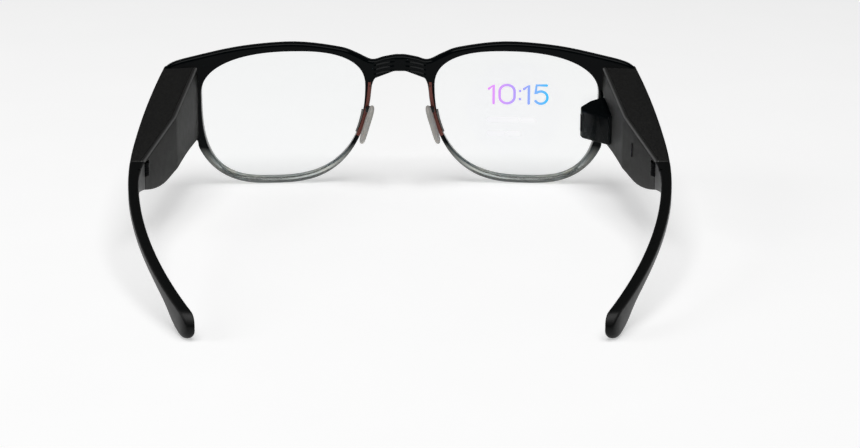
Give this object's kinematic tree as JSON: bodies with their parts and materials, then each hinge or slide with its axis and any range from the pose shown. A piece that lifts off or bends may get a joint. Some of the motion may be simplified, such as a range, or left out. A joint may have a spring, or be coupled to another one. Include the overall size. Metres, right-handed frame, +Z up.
{
  "type": "smart glasses",
  "caption": "Eyeglasses with thick electronics housings, folding thin arms, silicone nose pads and a side projector facing one lens.",
  "frame": {"origin": "on the table that the rims and arm tips rest on, in the middle of the outline seen from above", "axes": "+Z up, the front faces -Y, the arms reach towards +Y, +X is the wearer's left"},
  "size_m": [0.1518, 0.156, 0.0446],
  "materials": {
    "acetate": "polished cellulose acetate, near black, fading to smoky grey at the bottom rims",
    "lens": "clear coated lens",
    "film": "thin transparent holographic layer",
    "flex": "polyimide flexible circuit",
    "copper_rail": "copper-red anodised strip",
    "smoke_insert": "grey translucent resin",
    "black_nylon": "black moulded nylon",
    "silicone": "warm grey soft silicone",
    "dark_rivet": "dark plated rivet",
    "housing_nylon": "fine speckled matte grey-black moulding",
    "cover_nylon": "fine matte warm grey moulding",
    "steel": "fine ground stainless steel",
    "black_steel": "black coated steel",
    "foil": "laminated foil pouch",
    "board": "green solder mask",
    "gold": "gold plated contact",
    "chip": "black moulded epoxy",
    "engine": "machined aluminium block",
    "gloss_black": "glossy black moulding",
    "window": "dark coated glass",
    "arm_nylon": "fine matte black over-moulding"
  },
  "bodies": {
    "front": {"front_frame": "acetate", "left_lens": "lens", "right_lens": "lens", "display_film": "film", "brow_flex_cable": "flex", "left_nose_rail": "copper_rail", "right_nose_rail": "copper_rail", "left_rim_insert": "smoke_insert", "right_rim_insert": "smoke_insert", "left_pad_clip": "black_nylon", "right_pad_clip": "black_nylon", "left_nose_pad": "silicone", "right_nose_pad": "silicone", "nose_rivets": "dark_rivet", "left_housing_shell": "housing_nylon", "right_housing_shell": "housing_nylon", "left_housing_cover": "cover_nylon", "right_housing_cover": "cover_nylon", "left_end_bracket": "steel", "right_end_bracket": "steel", "bracket_screws": "steel", "left_hinge_leaf": "black_steel", "right_hinge_leaf": "black_steel", "left_hinge_pin": "steel", "right_hinge_pin": "steel", "battery_cell": "foil", "charge_board": "board", "charge_contacts": "gold", "main_board": "board", "processor": "chip", "bluetooth_antenna": "flex", "light_engine": "engine", "projector_shroud": "gloss_black", "projector_gasket": "gloss_black", "projector_window": "window", "wear_sensor": "window", "left_speaker": "chip", "right_speaker": "chip", "microphones": "steel"},
    "left_arm": {"left_arm": "arm_nylon", "left_arm_core": "steel", "left_arm_leaf": "black_steel"},
    "right_arm": {"right_arm": "arm_nylon", "right_arm_core": "steel", "right_arm_leaf": "black_steel"}
  },
  "joints": [
    {"name": "left_fold", "type": "hinge", "parent": "front", "child": "left_arm", "pos_m": [0.07164, -0.0081, 0.02125], "axis": [0, 0, 1], "range_deg": [0, 98]},
    {"name": "right_fold", "type": "hinge", "parent": "front", "child": "right_arm", "pos_m": [-0.07164, -0.0081, 0.02125], "axis": [0, 0, -1], "range_deg": [0, 87]}
  ]
}
